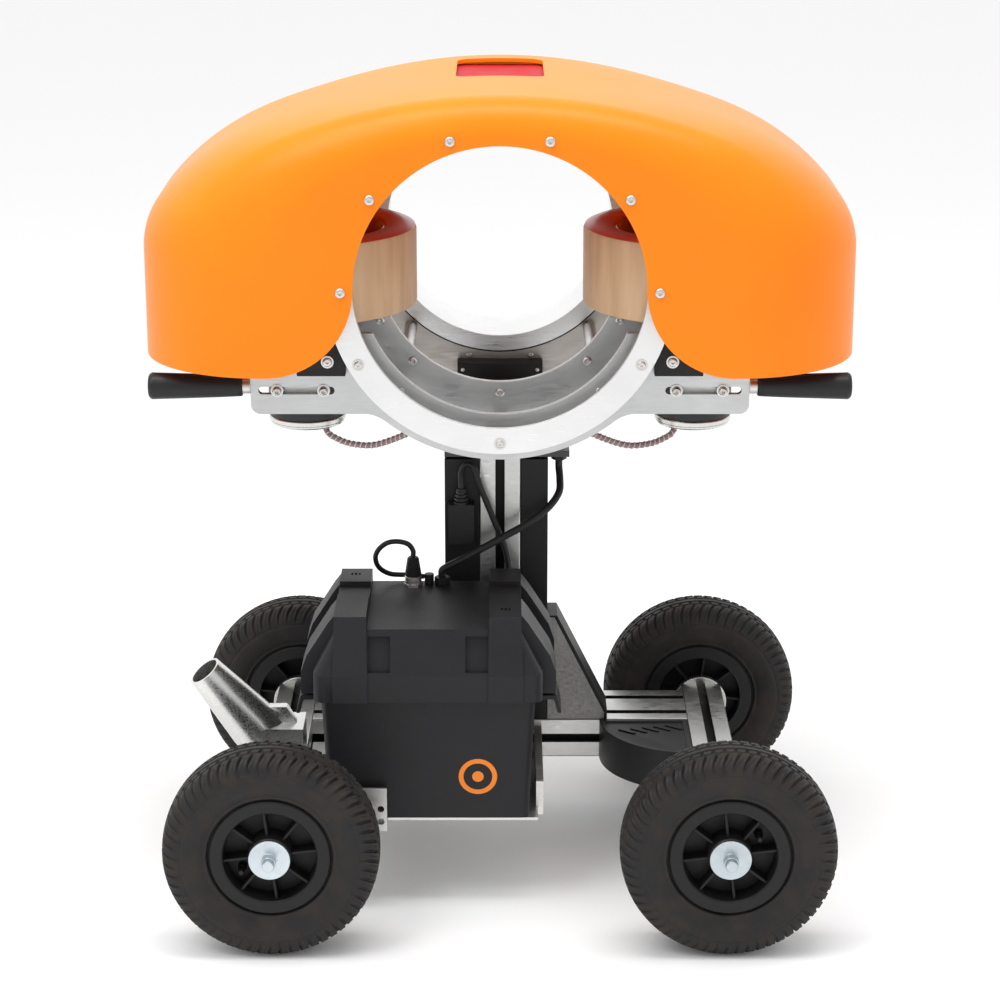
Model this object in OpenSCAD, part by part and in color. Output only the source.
// Two-wheel ball launcher on a four-wheeled trolley.
// Millimetres, +Z up, the muzzle faces -Y, the origin is on the floor under the middle of the machine.

/* [Trolley] */
// Height of the wheel axles above the floor
axle_z = 110; // [110:1:120]
// Distance of each axle from the middle plane
axle_x = 231; // [226:1:236]
// Distance of each tyre's middle plane from the centre
wheel_y = 223; // [223:1:225]
// Side of the square T-slot profile
profile = 45; // [45:1:45]
// Width of a T-slot's mouth
slot_w = 10; // [8:1:11]
// Front face of the cross beam and of the mast
beam_front_y = 70; // [70:1:74]

/* [Ground wheels] */
// Outer diameter of a tyre
tyre_d = 220; // [210:1:220]
// Width of a tyre
tyre_w = 65; // [60:1:65]
// Outer diameter of the plastic rim
rim_d = 125; // [123:1:127]
// Diameter of an axle stud
stud_d = 12; // [12:1:12]

/* [Mast] */
// Top of the mast above the floor
mast_top = 436; // [430:1:436]
// Outer face of the cover on the left of the mast
cover_left = 60; // [56:1:60]
// Outer face of the cover on the right of the mast
cover_right = 52; // [48:1:52]

/* [Battery box] */
// Bottom of the battery box
box_z = 100; // [100:1:102]
// Top of the lid
lid_z = 310; // [306:1:312]
// Middle of the box across the machine
box_x = -74; // [-76:1:-73]
// Width of the box under its lid
box_w = 224; // [220:1:226]
// Depth of the box under its lid
box_d = 162; // [158:1:164]

/* [Head] */
// Height of the ball passage's axis
ball_z = 668; // [668:1:672]
// Radius of the opening in the orange cover
mouth_r = 144; // [142:1:145]
// Height of the tilt pin
tilt_z = 466; // [466:1:466]
// Half width of the orange cover
cover_half_w = 361.5; // [355:0.5:361.5]
// Top of the orange cover
cover_top = 856; // [854:1:858]
// Lower edge of the orange cover
cover_low = 582; // [578:1:584]
// Thickness of the orange cover
cover_t = 4; // [3:0.5:5]
// Radius of the plan view's corners
cover_corner_r = 130; // [120:1:135]

/* [Launch wheels] */
// Distance of each launch wheel's shaft from the middle plane
launch_x = 201.6; // [200:0.1:203]
// Outer radius of the launch wheel tread
launch_r = 116; // [114:0.5:116]
// Inner radius of the tread
launch_rim_r = 84; // [80:1:86]
// Height of the launch wheel
launch_h = 82; // [76:1:82]
// Diameter of the motor
motor_d = 80; // [76:1:80]
// Diameter of the launch wheel's shaft
shaft_d = 14; // [12:1:16]

/* [Hidden] */
$fn = 64;
eps = 0.01;
// Radial play of a shaft in its bore
play = 0.05;

// Colours
alu_c = "silver";
steel_c = "lightgray";
black_c = "#202022";
orange_c = "#f57c1f";

// Trolley
beam_low = axle_z - profile / 2;
beam_top = axle_z + profile / 2;
beam_end_y = 180;
disc_r = 30;
disc_t = 8;
stud_end = 271;
hub_end = 252;
washer_t = 2.5;
washer_r = 21;
nut_h = 10;
mast_y = beam_front_y + profile / 2;

// Battery box
box_front = -135;
lid_skirt_z = 235;
wall = 3;

// Head, from the muzzle to the feed
cover_front = -157;
cover_back = 197;
ring_front = -120;
ring_t = 5;
main_front = -92;
plate_t = 8;
mid_front = -15;
rear_front = 182;
rear_top_r = 161;
tube_end = 269;
ring_in = 147;
ring_out = 174;
main_in = 140;
plate_out = 187.5;
mid_in = 126;
tube_in = 123;
flange_out = 142;
// Upper edge of the plates that pass under the launch wheels
cradle_top = 612;
arm_end = 252;
arm_low = 528.5;
arm_fillet = 35;
slot_z = 553;
slot_mid = 205.5;
slot_len = 77;
slot_h = 8;
bolt_gap = 47;
// Screws of the orange cover, degrees from the top
cover_screw_angles = [-90, -54, -18, 18, 54, 90];
cover_screw_r = 156;
ring_bolt_r = 163;
ring_bolt_angles = [120, 180, 240];
rod_r = 137;
rod_angles = [116, 139, 180, 221, 244];
rear_screw_angles = [108, 167, 193, 252];
controller_front = -105;
keel_low = 480.5;
keel_h = 13;
grip_z = 557;
grip_end = 355;

// Launch wheels
launch_low = ball_z - 2.5 - launch_h / 2;
motor_low = 496;
shelf_low = 590;
shelf_t = 10;

// Cord routes: hand-chosen points in millimetres
power_d = 8;
power_route = [
    [64, 85, 430], [64, 85, 421], [65, 78, 409], [64, 67, 398], [55, 58, 386], [41, 52, 375],
    [24, 46, 365], [5, 40, 356], [-14, 34, 347], [-32, 28, 339], [-46, 22, 333], [-56, 18, 329],
    [-62, 17, 325], [-62, 17, 318]
];
plug_d = 6.5;
plug_route = [
    [-42, 60, 404], [-42, 60, 412], [-42, 59, 422], [-38, 57, 431], [-31, 56, 431], [-26, 56, 422],
    [-21, 56, 406], [-14, 56, 388], [-7, 56, 370], [0, 56, 352], [6, 56, 334], [9, 56, 316],
    [10, 56, 298], [10, 56, 278], [10, 55, 258], [10, 53, 241], [10, 50, 229], [10, 45, 222],
    [10, 38, 222]
];
connector_d = 5.5;
connector_route = [
    [-93, 12, 342], [-93, 12, 349], [-98, 12, 356], [-108, 12, 359], [-119, 12, 358],
    [-128, 12, 352], [-133, 13, 343], [-132, 15, 333], [-127, 19, 325], [-118, 23, 319],
    [-107, 26, 317], [-96, 26, 317], [-88, 23, 317], [-82, 20, 317]
];
lead_d = 7.5;
// Right-hand lead; the left one is its mirror image
lead_route = [
    [182, -12, 496], [182, -12, 491], [178, -16, 486], [170, -22, 483], [160, -30, 481],
    [149, -38, 481], [137, -45, 482], [126, -51, 485], [115, -57, 490], [106, -63, 495],
    [98, -69, 500], [90, -74, 505], [82, -77, 508], [74, -77, 508], [65, -77, 508], [56, -77, 508]
];

// ---------- helpers ----------

// Mirrors its children to the left as well
module both_sides() {
    children();
    mirror([1, 0, 0]) children();
}

// Extrudes a drawing in X and Z towards +Y, from y
module plate_at(y, t) {
    translate([0, y + t, 0]) rotate([90, 0, 0]) linear_extrude(t) children();
}

// Places children around the ball passage's axis, angle in degrees from the top
module around_passage(angle, radius) {
    translate([radius * sin(angle), 0, ball_z + radius * cos(angle)]) children();
}

// Round bar along +Y
module bar_y(y, length, radius) {
    translate([0, y + length, 0]) rotate([90, 0, 0]) cylinder(h = length, r = radius);
}

module rounded_square(size, radius) {
    translate([radius, 0]) square([size[0] - 2 * radius, size[1]]);
    translate([0, radius]) square([size[0], size[1] - 2 * radius]);
    for (x = [radius, size[0] - radius])
        for (y = [radius, size[1] - radius])
            translate([x, y]) circle(radius);
}

// Tube swept along a list of points; ref is a direction that the tube never follows
function unit(v) = v / norm(v);
function tangent(p, i) =
    i == 0 ? unit(p[1] - p[0])
    : i == len(p) - 1 ? unit(p[i] - p[i - 1])
    : unit(unit(p[i] - p[i - 1]) + unit(p[i + 1] - p[i]));
function ring(p, i, radius, sides, ref) =
    let (t = tangent(p, i), u = unit(cross(t, ref)), v = cross(t, u))
    [for (k = [0 : sides - 1]) p[i] + radius * (cos(360 * k / sides) * u + sin(360 * k / sides) * v)];

module swept_tube(p, diameter, sides, ref) {
    n = len(p);
    points = [for (i = [0 : n - 1]) each ring(p, i, diameter / 2, sides, ref)];
    walls = [
        for (i = [0 : n - 2], k = [0 : sides - 1])
            let (a = i * sides + k, b = i * sides + (k + 1) % sides)
            [a, b, b + sides, a + sides]
    ];
    start_cap = [for (k = [sides - 1 : -1 : 0]) k];
    end_cap = [for (k = [0 : sides - 1]) (n - 1) * sides + k];
    polyhedron(points, concat(walls, [start_cap, end_cap]));
}

// One T-slot, its mouth on the X axis of a drawing and its depth towards -Y
module t_slot_2d() {
    lip = 4.5;
    half_mouth = slot_w / 2;
    half_room = slot_w;
    translate([-half_mouth, -lip - eps]) square([slot_w, lip + 1]);
    polygon([
        [-half_room, -lip], [half_room, -lip], [half_room, -lip - 4],
        [half_mouth, -lip - 9], [-half_mouth, -lip - 9], [-half_room, -lip - 4]
    ]);
}

// T-slot profile, cells side by side along X, centred on the origin
module profile_2d(cells) {
    w = cells * profile;
    core_r = 4.9;
    difference() {
        translate([-w / 2, -profile / 2]) rounded_square([w, profile], 2);
        for (i = [0 : cells - 1]) {
            x = (i - (cells - 1) / 2) * profile;
            translate([x, 0]) circle(core_r);
            for (turn = [0, 180])
                translate([x, 0]) rotate(turn) translate([0, profile / 2]) t_slot_2d();
        }
        for (turn = [90, 270])
            rotate(turn) translate([0, w / 2]) t_slot_2d();
    }
}

// ---------- trolley ----------

module cross_beam() {
    length = 2 * axle_x - profile;
    color(alu_c)
        translate([-length / 2, beam_front_y + profile, axle_z])
        rotate([0, 90, 0]) rotate(90) linear_extrude(length) profile_2d(2);
}

module axle_beams() {
    color(alu_c) both_sides()
        translate([axle_x, beam_end_y, axle_z])
        rotate([90, 0, 0]) linear_extrude(2 * beam_end_y)
        difference() {
            profile_2d(1);
            circle(stud_d / 2);
        }
}

// Moves a piece that is drawn for the rear right corner to another one
module corner(side, end) {
    mirror([side < 0 ? 1 : 0, 0, 0])
        mirror([0, end < 0 ? 1 : 0, 0])
        children();
}

module each_axle_end() {
    for (side = [1, -1])
        for (end = [1, -1])
            corner(side, end) children();
}

module beam_end_discs() {
    color(steel_c) each_axle_end()
        translate([axle_x, 0, axle_z])
        difference() {
            bar_y(beam_end_y, disc_t, disc_r);
            bar_y(beam_end_y - 1, disc_t + 2, stud_d / 2);
        }
}

module axle_studs() {
    depth = 40;
    color(steel_c) each_axle_end()
        translate([axle_x, 0, axle_z])
        bar_y(beam_end_y - depth, stud_end - beam_end_y + depth, stud_d / 2);
}

module axle_fasteners() {
    cap_r = 7.5;
    color(steel_c) each_axle_end()
        translate([axle_x, 0, axle_z])
        difference() {
            union() {
                bar_y(hub_end + 0.3, washer_t, washer_r);
                bar_y(hub_end + 0.3 + washer_t, nut_h, cap_r);
            }
            bar_y(hub_end, washer_t + nut_h + 1, stud_d / 2);
        }
}

module corner_step() {
    radius = 98;
    inner = axle_x - profile / 2;
    color(black_c)
        translate([inner, beam_front_y, beam_low])
        difference() {
            intersection() {
                cylinder(h = profile, r = radius, $fn = 96);
                translate([-radius, -radius, 0]) cube([radius, radius, profile]);
            }
            // Shallow tray in the top with a raised rim
            translate([0, 0, profile - 2]) intersection() {
                cylinder(h = 3, r = radius - 6, $fn = 96);
                translate([-radius, -radius, 0]) cube([radius - 6, radius - 6, 3]);
            }
        }
}

// Tow-handle socket: a tapered tube welded to a block on the left axle beam
socket_base = [-262, -45, 172];
socket_lean = 37;
socket_forward = 9;
socket_len = 84;
socket_bore_r = 16;
socket_bore_depth = 70;
socket_tip_r = 18.5;
socket_root_r = 28;

module in_socket_frame() {
    translate(socket_base) rotate([socket_forward, -socket_lean, 0]) children();
}

module handle_socket() {
    foot_w = profile;
    foot_d = 50;
    difference() {
        color(alu_c) union() {
            in_socket_frame() {
                cylinder(h = socket_len, r1 = socket_root_r, r2 = socket_tip_r);
                translate([0, 0, -14]) cylinder(h = 14, r = socket_root_r);
            }
            translate([-axle_x - foot_w / 2, -45 - foot_d / 2, beam_top])
                cube([foot_w, foot_d, 44]);
            // Sloping web from the block to the tube
            translate([0, -45 + 6, 0]) rotate([90, 0, 0]) linear_extrude(12)
                polygon([
                    [-axle_x + foot_w / 2, beam_top], [-axle_x + foot_w / 2, beam_top + 30],
                    [-axle_x + 4, beam_top + 62], [-axle_x - 20, beam_top + 62],
                    [-axle_x - 20, beam_top]
                ]);
        }
        in_socket_frame()
            translate([0, 0, socket_len - socket_bore_depth])
            cylinder(h = socket_bore_depth + 1, r = socket_bore_r);
    }
}

// ---------- mast ----------

module mast_profile() {
    color(alu_c)
        translate([0, mast_y, beam_top])
        linear_extrude(mast_top - beam_top) profile_2d(1);
}

// Black cable ducts on both sides of the mast: hollow, open at the ends
module mast_duct(x, w) {
    t = 2;
    translate([x, beam_front_y, beam_top])
        difference() {
            cube([w, profile, mast_top - beam_top - 2]);
            translate([t, t, -1]) cube([w - 2 * t, profile - 2 * t, mast_top]);
        }
}

module mast_covers() {
    half = profile / 2;
    color(black_c) {
        mast_duct(half, cover_right - half);
        mast_duct(-cover_left, cover_left - half);
    }
}

gusset_w = 64;
gusset_h = 120;

// Gusset on one side; x is the face that it stands against
module gusset_body(x) {
    t = 6;
    translate([x, 0, 0]) {
        translate([0, beam_front_y, beam_top]) cube([t, profile, gusset_h]);
        translate([0, beam_front_y, beam_top]) cube([gusset_w, profile, t]);
        for (y = [beam_front_y, beam_front_y + profile - t])
            plate_at(y, t) polygon([
                [0, beam_top], [gusset_w, beam_top], [gusset_w, beam_top + 8],
                [8, beam_top + gusset_h], [0, beam_top + gusset_h]
            ]);
    }
}

module gussets() {
    color("#8c8985") {
        gusset_body(cover_right);
        mirror([1, 0, 0]) gusset_body(cover_left);
    }
}

// Black plastic lid over a gusset's sloping side
module gusset_cap(x) {
    t = 3;
    translate([x, 0, 0]) plate_at(beam_front_y, profile) polygon([
        [gusset_w, beam_top], [gusset_w + t, beam_top], [gusset_w + t, beam_top + 10],
        [8 + t, beam_top + gusset_h + 2], [0, beam_top + gusset_h + 2], [0, beam_top + gusset_h],
        [8, beam_top + gusset_h], [gusset_w, beam_top + 8]
    ]);
}

module gusset_caps() {
    color(black_c) {
        gusset_cap(cover_right);
        mirror([1, 0, 0]) gusset_cap(cover_left);
    }
}

// Plate on the mast's top: carries the swivel pin and, on the right, the power cable's gland
swivel_pin_r = 15;
turntable_low = mast_top + 7.3;

module mast_bracket() {
    color("dimgray") {
        difference() {
            translate([-cover_left, beam_front_y, mast_top]) cube([cover_left + 75, profile, 7]);
            translate([64, 85, mast_top - 1]) cylinder(h = 9, r = 6);
        }
        translate([0, mast_y, mast_top + 7]) cylinder(h = 9, r = swivel_pin_r);
    }
}

// ---------- battery box ----------

module battery_tray() {
    t = 3;
    left = box_x - box_w / 2 + 8;
    rail_x = box_x + box_w / 2;
    width = rail_x + 2 - left;
    color(steel_c) {
        translate([left, box_front + 10, box_z - t - 0.3]) cube([width, beam_front_y - box_front - 10, t]);
        // Side rail, from the cross beam forwards
        difference() {
            translate([rail_x, box_front + 40, box_z - 10]) cube([8, beam_front_y - box_front - 40, 38]);
            for (y = [box_front + 60 : 24 : beam_front_y - 12])
                translate([rail_x - 1, y, box_z + 16]) rotate([0, 90, 0]) cylinder(h = 10, r = 4);
        }
        // Front clip, from the left axle beam across the box's corner
        difference() {
            translate([-axle_x + profile / 2, box_front - 6, box_z - 9]) cube([91, 4, 48]);
            for (z = [box_z + 2, box_z + 16])
                translate([-124, box_front - 7, z]) rotate([-90, 0, 0]) cylinder(h = 6, r = 3.5);
        }
        translate([-axle_x + profile / 2, box_front - 6, box_z - 9]) cube([91, 22, 5]);
        translate([-axle_x + profile / 2, box_front - 6, box_z - 9]) cube([5, 60, 30]);
        // Hook that joins the clip to the tray
        translate([-axle_x + profile / 2 + 60, box_front + 10, box_z - 9]) cube([31, 12, 6]);
    }
}

// Box that narrows downwards, drawn from its bottom; faces are flat
module tapered_box(x, y, z, w, d, h, taper) {
    translate([x, y, z]) hull() {
        translate([taper, taper, 0]) linear_extrude(1) rounded_square([w - 2 * taper, d - 2 * taper], 8);
        translate([0, 0, h - 1]) linear_extrude(1) rounded_square([w, d], 8);
    }
}

box_left = box_x - box_w / 2;
box_rim_z = 262;

// Outline of the lifting flange on the box's side, seen from the front
flange_2d = [
    [104, 227], [130, 227], [134, 212], [138, 212], [133, 232], [104, 232]
];

module battery_box() {
    color(black_c) difference() {
        union() {
            tapered_box(box_left, box_front, box_z, box_w, box_d, box_rim_z - box_z, 8);
            translate([box_x, -64, 0]) both_sides() rotate([90, 0, 0]) linear_extrude(49) polygon(flange_2d);
        }
        tapered_box(box_left + wall, box_front + wall, box_z + wall, box_w - 2 * wall,
            box_d - 2 * wall, box_rim_z - box_z, 8);
        translate(rear_gland) bar_y(-3, 12, 5);
    }
}

lid_w = box_w + 12;
lid_d = box_d + 14;
// Where cables and the connector pass through the lid and the box's back
gland_r = 6;
lid_gland = [-62, 17, lid_z];
rear_gland = [10, 24, 222];
connector_at = [-93, 12, lid_z];

// Outline of the ribs on the lid's sides, seen from the front
side_rib_2d = [
    [80, 300], [95, 322], [103, 312], [126, 276], [132, 258], [132, lid_skirt_z], [112, lid_skirt_z], [112, 264]
];

module battery_lid() {
    half_w = lid_w / 2;
    y = box_front - 7;
    skirt_h = 29;
    top_in = 24;
    rib_in = half_w - 56;
    rib_w = 36;
    rib_top = lid_z + 14;
    color(black_c) translate([box_x, 0, 0]) difference() {
        union() {
            // Skirt and sloping upper part
            hull() {
                translate([-half_w, y, lid_skirt_z])
                    linear_extrude(skirt_h) rounded_square([lid_w, lid_d], 10);
                translate([top_in - half_w, y + 14, lid_z - 4])
                    linear_extrude(4) rounded_square([lid_w - 2 * top_in, lid_d - 22], 8);
            }
            both_sides() {
                // Rib from the front's foot over the top to the back
                hull() {
                    translate([rib_in, y - 2, lid_skirt_z]) cube([rib_w, lid_d + 2, skirt_h]);
                    translate([rib_in + 1, y + 12, rib_top - 8]) cube([rib_w - 3, lid_d - 20, 3]);
                }
                // Its higher ends, each with a rib down the side
                for (span = [[-130, -59, -115, -62], [-17, 26, -17, 22]]) {
                    translate([rib_in + 1, span[0], rib_top - 12]) cube([rib_w - 3, span[1] - span[0], 12]);
                    translate([0, span[3], 0]) rotate([90, 0, 0])
                        linear_extrude(span[3] - span[2]) polygon(side_rib_2d);
                }
            }
        }
        // Hollow inside
        translate([5 - half_w, y + 6, lid_skirt_z - 1])
            linear_extrude(28) rounded_square([lid_w - 10, lid_d - 12], 8);
        hull() {
            translate([10 - half_w, y + 12, lid_skirt_z + 20]) cube([lid_w - 20, lid_d - 24, 7]);
            translate([30 - half_w, y + 22, lid_z - 10]) cube([lid_w - 60, lid_d - 38, 4]);
        }
        // Cable holes
        translate(lid_gland - [box_x, 0, 12]) cylinder(h = 20, r = gland_r);
        translate(connector_at - [box_x, 0, 12]) cylinder(h = 20, r = 7);
    }
}

module battery() {
    w = 188;
    d = 130;
    h = 158;
    color("#3a3a40") {
        translate([box_x - w / 2, box_front + (box_d - d) / 2, box_z + wall]) cube([w, d, h]);
        for (x = [-70, 70])
            translate([box_x + x, box_front + box_d / 2 - 40, box_z + wall + h]) cylinder(h = 15, r = 8);
    }
}

// Round metal panel connector with its black boot
module lid_connector() {
    boot_low = 11;
    boot_h = 21;
    color(steel_c) translate(connector_at) {
        translate([0, 0, -12]) cylinder(h = 12, r = 7);
        cylinder(h = 3, r = 10.5, $fn = 6);
        translate([0, 0, 3]) cylinder(h = boot_low - 3, r = 9);
    }
    color(black_c) translate(connector_at + [0, 0, boot_low])
        cylinder(h = boot_h, r1 = 9, r2 = 5.5);
}

module connector_cable() {
    color(black_c) swept_tube(connector_route, connector_d, 10, [0, 1, 0]);
}

module power_cable() {
    color(black_c) swept_tube(power_route, power_d, 10, [0, 1, 0]);
}

module plug_cable() {
    color(black_c) swept_tube(plug_route, plug_d, 10, [1, 0.35, 0]);
}

module cable_glands() {
    color(black_c) {
        // Under the mast bracket
        translate([64, 85, 430]) cylinder(h = 6, r = 8.5, $fn = 6);
        translate([64, 85, 436]) cylinder(h = 9, r = gland_r);
        // On the lid
        translate(lid_gland) cylinder(h = 8, r = 8.5, $fn = 6);
        translate(lid_gland - [0, 0, 10]) cylinder(h = 10, r = gland_r);
        // Beside it, for the looped lead
        translate([-76, 18, lid_z]) cylinder(h = 11, r = 5);
        // At the back of the box
        translate(rear_gland) bar_y(0, 14, 5);
    }
}

// Moulded plug parked on the left mast cover, its lead leaving upwards
module cable_plug() {
    color(black_c) {
        translate([-56, 52, 343]) cube([28, 18, 44]);
        for (i = [0 : 3])
            translate([-42, 60, 387 + 4 * i]) cylinder(h = 2.5, r = 8 - 0.8 * i);
        translate([-42, 60, 387]) cylinder(h = 17, r = 5);
    }
}

// ---------- swivel ----------

yoke_gap = 57;
cheek_t = 8;
tilt_pin_r = 5;

module swivel_yoke() {
    color("dimgray") difference() {
        union() {
            translate([0, mast_y, turntable_low]) cylinder(h = 9, r = 40);
            both_sides() {
                translate([yoke_gap / 2, mast_y - 9, turntable_low + 5])
                    cube([cheek_t, 18, tilt_z - turntable_low - 5]);
                translate([yoke_gap / 2, mast_y, tilt_z]) rotate([0, 90, 0]) cylinder(h = cheek_t, r = 9);
            }
        }
        translate([0, mast_y, turntable_low - 1]) cylinder(h = 11, r = swivel_pin_r + play);
        translate([-50, mast_y, tilt_z]) rotate([0, 90, 0]) cylinder(h = 100, r = tilt_pin_r);
    }
}

module tilt_pin() {
    reach = yoke_gap / 2 + cheek_t;
    color(steel_c) {
        translate([-reach, mast_y, tilt_z]) rotate([0, 90, 0]) cylinder(h = 2 * reach, r = tilt_pin_r);
        both_sides()
            translate([reach, mast_y, tilt_z]) rotate([0, 90, 0]) cylinder(h = 5, r = 9, $fn = 6);
    }
}

// ---------- head frame ----------

module bolt_holes(angles, radius, hole_r) {
    for (a = angles)
        translate([radius * sin(a), radius * cos(a)]) circle(hole_r);
}

module front_ring() {
    color("gainsboro")
        translate([0, 0, ball_z]) plate_at(ring_front, ring_t)
        difference() {
            circle(ring_out, $fn = 128);
            circle(ring_in, $fn = 128);
        }
}

// Lower part of the passage plates, cut off flat under the launch wheels
module cradle_2d(outer, inner) {
    difference() {
        intersection() {
            circle(outer, $fn = 128);
            translate([-outer, -outer]) square([2 * outer, outer - (ball_z - cradle_top)]);
        }
        circle(inner, $fn = 128);
    }
}

module main_plate_2d() {
    low = arm_low - ball_z;
    top = cradle_top - ball_z;
    fillet_x = sqrt(pow(plate_out + arm_fillet, 2) - pow(arm_fillet - low, 2));
    // The fillet's arc, from the disc to the arm's lower edge, 3 degrees short at both ends
    arc_start_a = 177 - atan2(arm_fillet - low, fillet_x);
    arc_end_a = 93;
    fillet_arc = [
        for (k = [0 : 6])
            let (a = arc_start_a + (arc_end_a - arc_start_a) * k / 6)
            [fillet_x + arm_fillet * cos(a), low - arm_fillet + arm_fillet * sin(a)]
    ];
    difference() {
        union() {
            cradle_2d(plate_out, main_in);
            both_sides() {
                translate([100, low]) square([arm_end - 120, top - low]);
                translate([160, low]) rounded_square([arm_end - 160, top - low], 10);
                polygon(concat([[105, low + 5], 0.95 * fillet_arc[0]], fillet_arc, [[fillet_x, low + 5]]));
            }
        }
        circle(main_in, $fn = 128);
        both_sides() {
            translate([slot_mid - slot_len / 2, slot_z - ball_z - slot_h / 2])
                rounded_square([slot_len, slot_h], slot_h / 2 - eps);
            translate([123, -127]) circle(3.5);
        }
    }
}

module main_plate() {
    color(alu_c)
        translate([0, 0, ball_z]) plate_at(main_front, plate_t) main_plate_2d();
}

module mid_plate() {
    half = 148;
    color(alu_c)
        translate([0, 0, ball_z]) plate_at(mid_front, plate_t)
        intersection() {
            cradle_2d(plate_out, mid_in);
            translate([-half, -plate_out]) rounded_square([2 * half, plate_out - (ball_z - cradle_top)], 12);
        }
}

module rear_plate() {
    color("#9a938c")
        translate([0, 0, ball_z]) plate_at(rear_front, plate_t)
        difference() {
            union() {
                circle(rear_top_r, $fn = 128);
                cradle_2d(plate_out, flange_out);
            }
            circle(flange_out, $fn = 128);
        }
}

module feed_tube() {
    color("gainsboro") translate([0, 0, ball_z]) {
        plate_at(rear_front - 4, 10) difference() {
            circle(flange_out - 1.5, $fn = 128);
            circle(tube_in, $fn = 128);
        }
        plate_at(rear_front + 6, tube_end - rear_front - 6) difference() {
            circle(tube_in + 6, $fn = 128);
            circle(tube_in, $fn = 128);
        }
    }
}

// Black rubber ring between the feed tube's flange and the rear plate
module ring_seals() {
    color(black_c) translate([0, 0, ball_z])
        plate_at(rear_front - 3, 9) difference() {
            circle(flange_out, $fn = 128);
            circle(flange_out - 1.5, $fn = 128);
        }
}

module spacer(angle, radius, y, length, r) {
    around_passage(angle, radius) bar_y(y, length, r);
}

module frame_spacers() {
    ring_back = ring_front + ring_t;
    main_back = main_front + plate_t;
    mid_back = mid_front + plate_t;
    rear_back = rear_front + plate_t;
    // The cover's spacers stop short of its rounded inner edge
    cover_inside_front = cover_front + cover_t + 1.5;
    cover_inside_back = cover_back - cover_t - 1.5;
    color("gainsboro") {
        for (a = ring_bolt_angles)
            spacer(a, ring_bolt_r, ring_back, main_front - ring_back, 7);
        for (a = [139, 180, 221])
            spacer(a, 168, main_back, mid_front - main_back, 7);
        // The keel takes the place of the lowest rod
        for (a = rod_angles)
            if (a != 180) spacer(a, rod_r + 13, mid_back, rear_front - mid_back, 7);
        for (a = cover_screw_angles) {
            spacer(a, cover_screw_r, cover_inside_front, ring_front - cover_inside_front, 4);
            spacer(a, cover_screw_r, rear_back, cover_inside_back - rear_back, 4);
        }
    }
}

module frame_bolts() {
    head_h = 2;
    color(steel_c) {
        for (a = ring_bolt_angles)
            spacer(a, ring_bolt_r, ring_front - head_h, head_h, 6);
        for (a = rod_angles)
            spacer(a, rod_r, mid_front - 3, 3, 5);
        for (a = [139, 221])
            spacer(a, 152, main_front - head_h, head_h, 3);
        for (a = rear_screw_angles)
            spacer(a, 150, rear_front - head_h, head_h, 3.5);
    }
}

// Bottom block of the head, with the tilt lug under it
module keel() {
    half = 35;
    back = mid_front + plate_t;
    lug = yoke_gap / 2 - 0.5;
    color("dimgray") difference() {
        union() {
            translate([-half, back, keel_low]) cube([2 * half, rear_front - back, keel_h]);
            translate([-lug, mast_y - 9, tilt_z]) cube([2 * lug, 18, keel_low - tilt_z + 1]);
            translate([-lug, mast_y, tilt_z]) rotate([0, 90, 0]) cylinder(h = 2 * lug, r = 9);
        }
        translate([-lug - 1, mast_y, tilt_z]) rotate([0, 90, 0])
            cylinder(h = 2 * lug + 2, r = tilt_pin_r + play);
    }
}

module sensor_bar() {
    w = 94;
    side = 24.5;
    color(black_c)
        translate([-w / 2, rear_front - side, keel_low + keel_h]) cube([w, side, side]);
}

// Block behind the main plate that takes in the far end of a motor lead
module lead_entry() {
    end = lead_route[len(lead_route) - 1];
    back = main_front + plate_t;
    difference() {
        translate([end[0] - 18, back, end[2] - 7]) cube([32, 2 * (end[1] - back), 14]);
        translate([end[0] - 16, end[1], end[2]]) rotate([0, 90, 0]) cylinder(h = 31, r = lead_d / 2 + 0.9);
    }
}

module controller_boxes() {
    color(black_c) both_sides() {
        translate([155, controller_front, 571]) cube([49, main_front - controller_front, 41]);
        lead_entry();
    }
}

module grip_rods() {
    color(steel_c) both_sides()
        translate([arm_end, main_front + plate_t / 2, grip_z]) rotate([0, 90, 0]) {
            cylinder(h = 8, r = 8);
            cylinder(h = 60, r = 4);
        }
}

module hand_grips() {
    start = arm_end + 8;
    color(black_c) both_sides()
        translate([start, main_front + plate_t / 2, grip_z]) rotate([0, 90, 0])
        difference() {
            cylinder(h = grip_end - start, r1 = 10.5, r2 = 14);
            translate([0, 0, -1]) cylinder(h = 53, r = 4);
        }
}

// ---------- orange cover ----------

// Half outline of the cover's section, from the crown down to the side: three arcs, each
// [radius, angle where it starts, angle where it ends]
crown_arcs = [[731, 0, 18.75], [240, 18.75, 50], [84, 50, 90]];
arc_steps = 6;

function arc_dx(arc, a) = arc[0] * (sin(a) - sin(arc[1]));
function arc_dz(arc, a) = arc[0] * (cos(arc[1]) - cos(a));
function arc_start(i) =
    i == 0 ? [0, 0]
    : arc_start(i - 1) + [arc_dx(crown_arcs[i - 1], crown_arcs[i - 1][2]),
                          -arc_dz(crown_arcs[i - 1], crown_arcs[i - 1][2])];
crown_points = [
    for (i = [0 : 2], k = [i == 0 ? 0 : 1 : arc_steps])
        let (a = crown_arcs[i][1] + (crown_arcs[i][2] - crown_arcs[i][1]) * k / arc_steps)
        arc_start(i) + [arc_dx(crown_arcs[i], a), -arc_dz(crown_arcs[i], a)]
];
crown_half = crown_points[len(crown_points) - 1][0];

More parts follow.
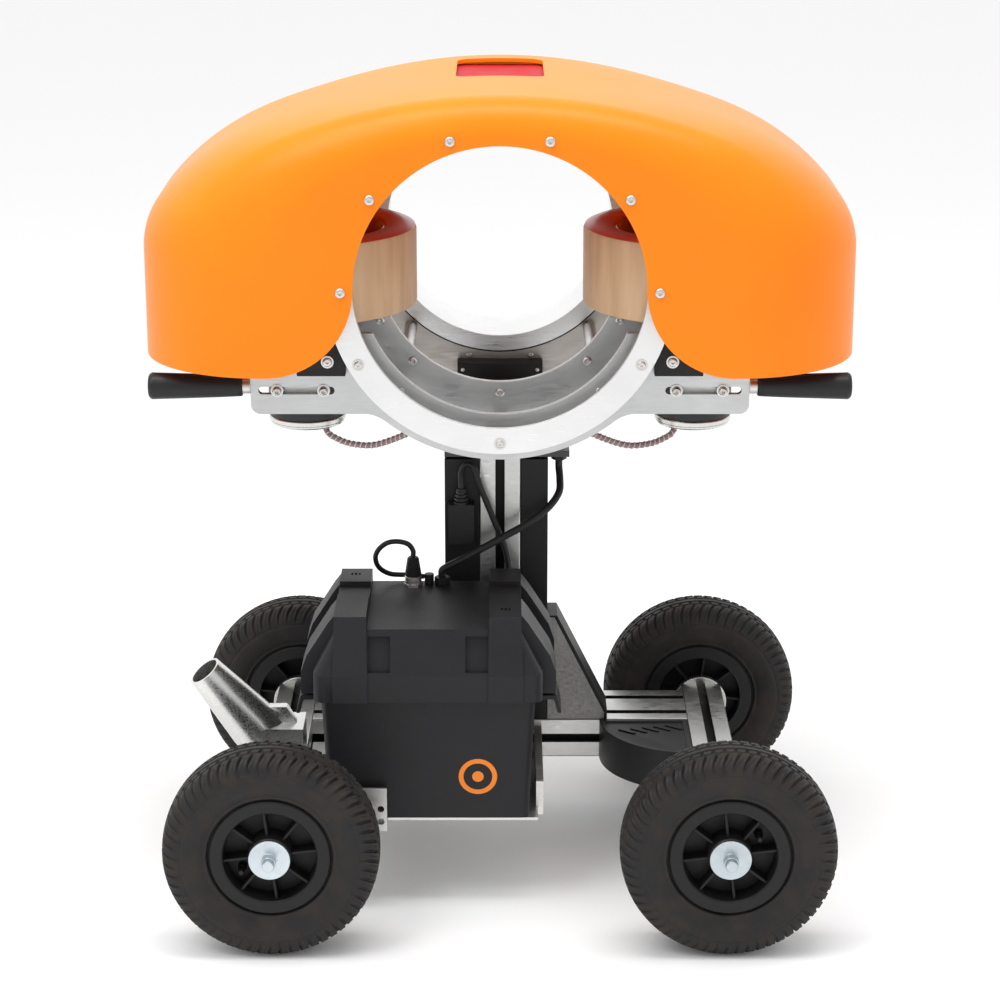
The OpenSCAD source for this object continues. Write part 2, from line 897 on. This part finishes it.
// One closed loop of the cover at y: half width, drop of the crown and lower edge
function cover_loop(y, half, drop, low) =
    let (
        right = [for (p = crown_points) [p[0] * half / crown_half, y, cover_top - drop + p[1]]],
        left = [for (i = [len(right) - 1 : -1 : 1]) [-right[i][0], y, right[i][2]]]
    )
    concat(right, [[half, y, low], [-half, y, low]], left);

// Distance of the crown below the top, at s behind the front or back face
edge_r = 35;
function edge_drop(s) = s < edge_r ? edge_r - sqrt(edge_r * edge_r - (edge_r - s) * (edge_r - s)) : 0;

// Closed body of the cover, made smaller all round by inset
module cover_body(inset, low) {
    steps = 10;
    middle = (cover_front + cover_back) / 2;
    half_depth = (cover_back - cover_front) / 2 - inset;
    // Angle round the plan view's corner at each station, front to back
    turns = concat([for (k = [0 : steps]) [-1, 90 * k / steps]], [for (k = [steps : -1 : 0]) [1, 90 * k / steps]]);
    loops = [
        for (t = turns)
            let (s = cover_corner_r * (1 - cos(t[1])))
            cover_loop(middle + t[0] * (half_depth - s),
                cover_half_w - inset - cover_corner_r * (1 - sin(t[1])), edge_drop(s) + inset, low)
    ];
    n = len(loops[0]);
    last = len(loops) - 1;
    walls = [
        for (j = [0 : last - 1], k = [0 : n - 1])
            let (a = j * n + k, b = j * n + (k + 1) % n)
            each [[b + n, b, a], [a + n, b + n, a]]
    ];
    front_face = [for (k = [0 : n - 1]) k];
    back_face = [for (k = [n - 1 : -1 : 0]) last * n + k];
    polyhedron([for (l = loops) each l], concat(walls, [front_face, back_face]));
}

// Mouth of the cover: the ball opening, and the round lobes on both sides of it
module mouth_2d() {
    lobe_r = 88;
    lobe_x = mouth_r + lobe_r;
    circle(mouth_r, $fn = 96);
    difference() {
        translate([-lobe_x, -150]) square([2 * lobe_x, 150]);
        for (side = [-1, 1])
            translate([side * lobe_x, 2]) circle(lobe_r, $fn = 96);
    }
}

window_front = 8;
window_len = 130;
window_half = 45;

module head_cover() {
    color(orange_c) difference() {
        cover_body(0, cover_low);
        cover_body(cover_t, cover_low - 10);
        translate([0, 0, ball_z]) plate_at(cover_front - 5, cover_back - cover_front + 10) mouth_2d();
        translate([0, 0, cover_top - 30]) linear_extrude(50)
            translate([-window_half, window_front]) rounded_square([2 * window_half, window_len], 12);
    }
}

module cover_screws() {
    color(steel_c) for (a = cover_screw_angles) {
        spacer(a, cover_screw_r, cover_front - 3, 3, 5.5);
        spacer(a, cover_screw_r, cover_back, 3, 5.5);
    }
}

// Flat window under the cover's slot, wider than it all round
module top_window() {
    margin = 8;
    color("#b01020")
        translate([-window_half - margin, window_front - margin, cover_top - 11.5])
        cube([2 * (window_half + margin), window_len + 2 * margin, 4]);
}

// ---------- launch sides, drawn for the right ----------

module on_side(side) {
    mirror([side < 0 ? 1 : 0, 0, 0]) children();
}

module carriage() {
    half = 29;
    back = main_front + plate_t + 0.3;
    color("darkgray") difference() {
        union() {
            translate([launch_x - half, back, 534]) cube([2 * half, 8, shelf_low + shelf_t - 534]);
            translate([launch_x - half, back, shelf_low]) cube([2 * half, 45 - back, shelf_t]);
        }
        translate([launch_x, 0, shelf_low - 1]) cylinder(h = shelf_t + 2, r = shaft_d / 2 + 1);
        for (x = [-1, 1])
            translate([launch_x + x * bolt_gap / 2, 0, slot_z]) bar_y(back - 1, 10, 3);
    }
}

module motor() {
    r = motor_d / 2;
    cap_h = 9;
    body_low = motor_low + cap_h;
    color(black_c) difference() {
        translate([launch_x, 0, body_low]) cylinder(h = shelf_low - body_low, r = r);
        translate([launch_x, 0, 558]) cylinder(h = 40, r = shaft_d / 2 + play);
    }
    color(steel_c) translate([launch_x, 0, motor_low]) cylinder(h = cap_h, r = r);
}

module slot_bolts() {
    front = main_front;
    color(steel_c) for (x = [-1, 1])
        translate([launch_x + x * bolt_gap / 2, 0, slot_z]) {
            bar_y(front - 0.4, plate_t + 8.7 + 2, 3);
            bar_y(front - 2, 1.6, 6.5);
            translate([0, front - 2, 0]) rotate([90, 0, 0]) cylinder(h = 5, r = 5, $fn = 32);
        }
}

module motor_lead() {
    color("#b8a0a4") swept_tube(lead_route, lead_d, 10, [0, 1, 0]);
}

module launch_tread() {
    color("#d8b98c") translate([launch_x, 0, launch_low]) difference() {
        cylinder(h = launch_h, r = launch_r, $fn = 128);
        translate([0, 0, -1]) cylinder(h = launch_h + 2, r = launch_rim_r, $fn = 128);
    }
}

// Dished rim with its hub and shaft
module launch_rim() {
    web = 10;
    mid = launch_h / 2;
    color("#a01c28") translate([launch_x, 0, launch_low]) {
        difference() {
            cylinder(h = launch_h - 3, r = launch_rim_r, $fn = 96);
            translate([0, 0, mid + web / 2]) cylinder(h = launch_h, r = launch_rim_r - 8, $fn = 96);
            translate([0, 0, -1]) cylinder(h = mid - web / 2 + 1, r = launch_rim_r - 8, $fn = 96);
        }
        translate([0, 0, 8]) cylinder(h = launch_h - 16, r = 22);
    }
    color(steel_c) translate([launch_x, 0, 560])
        cylinder(h = launch_low + launch_h - 4 - 560, r = shaft_d / 2);
}

// ---------- ground wheels, drawn for the rear right corner ----------

// Half of the tyre's section, from its middle plane outwards: [distance from the plane, radius]
module tyre_section_2d() {
    r = tyre_d / 2;
    half = tyre_w / 2;
    bead = rim_d / 2 - 4;
    points = [
        [0, r], [half * 0.45, r - 0.8], [half * 0.72, r - 3], [half * 0.86, r - 7],
        [half * 0.95, r - 14], [half, r - 23], [half * 0.97, r - 33], [half * 0.88, r - 41],
        [half * 0.8, rim_d / 2 + 1.5], [half * 0.72, rim_d / 2 + 0.5], [half * 0.72, bead], [0, bead]
    ];
    right = [for (p = points) [p[1], p[0]]];
    left = [for (i = [len(points) - 2 : -1 : 1]) [points[i][1], -points[i][0]]];
    polygon(concat(right, left));
}

module ground_tyre() {
    color(black_c) translate([axle_x, wheel_y, axle_z]) rotate([90, 0, 0])
        rotate_extrude($fn = 96) tyre_section_2d();
}

module ground_rim() {
    r = rim_d / 2;
    seat = r - 4;
    half = tyre_w / 2;
    flange = half * 0.72;
    barrel_in = r - 12;
    web_half = 4;
    hub_r = 22;
    color(black_c) translate([axle_x, wheel_y, axle_z]) rotate([90, 0, 0]) difference() {
        union() {
            // Barrel that the tyre sits on, with an outer flange each side
            rotate_extrude($fn = 96) polygon([
                [barrel_in, -flange - 3], [r - 1, -flange - 3], [r - 1, -flange - 0.5], [seat, -flange],
                [seat, flange], [r - 1, flange + 0.5], [r - 1, flange + 3], [barrel_in, flange + 3]
            ]);
            cylinder(h = 2 * web_half, r = barrel_in + 1, center = true);
            translate([0, 0, -(hub_end - wheel_y)]) cylinder(h = 2 * (hub_end - wheel_y), r = hub_r);
            for (k = [0 : 7])
                rotate(45 * k) translate([hub_r - 2, -3, -flange + 2])
                    cube([barrel_in - hub_r + 3, 6, 2 * flange - 4]);
        }
        cylinder(h = 100, r = stud_d / 2 + play, center = true);
    }
}

cross_beam();
axle_beams();
beam_end_discs();
axle_studs();
axle_fasteners();
mast_profile();
mast_covers();
gussets();
gusset_caps();
corner_step();
handle_socket();
battery_tray();
battery_box();
battery_lid();
battery();
lid_connector();
connector_cable();
power_cable();
cable_glands();
plug_cable();
cable_plug();
mast_bracket();
swivel_yoke();
tilt_pin();
front_ring();
main_plate();
mid_plate();
rear_plate();
feed_tube();
ring_seals();
frame_spacers();
frame_bolts();
keel();
head_cover();
cover_screws();
top_window();
sensor_bar();
controller_boxes();
hand_grips();
grip_rods();
on_side(-1) carriage();  // motor_carriage_left
on_side(1) carriage();  // motor_carriage_right
on_side(-1) motor();  // motor_left
on_side(1) motor();  // motor_right
on_side(-1) slot_bolts();  // slot_bolts_left
on_side(1) slot_bolts();  // slot_bolts_right
on_side(-1) motor_lead();  // motor_lead_left
on_side(1) motor_lead();  // motor_lead_right
on_side(-1) launch_tread();  // launch_tread_left
on_side(1) launch_tread();  // launch_tread_right
on_side(-1) launch_rim();  // launch_rim_left
on_side(1) launch_rim();  // launch_rim_right
corner(-1, -1) ground_tyre();  // tyre_front_left
corner(1, -1) ground_tyre();  // tyre_front_right
corner(-1, 1) ground_tyre();  // tyre_rear_left
corner(1, 1) ground_tyre();  // tyre_rear_right
corner(-1, -1) ground_rim();  // rim_front_left
corner(1, -1) ground_rim();  // rim_front_right
corner(-1, 1) ground_rim();  // rim_rear_left
corner(1, 1) ground_rim();  // rim_rear_right
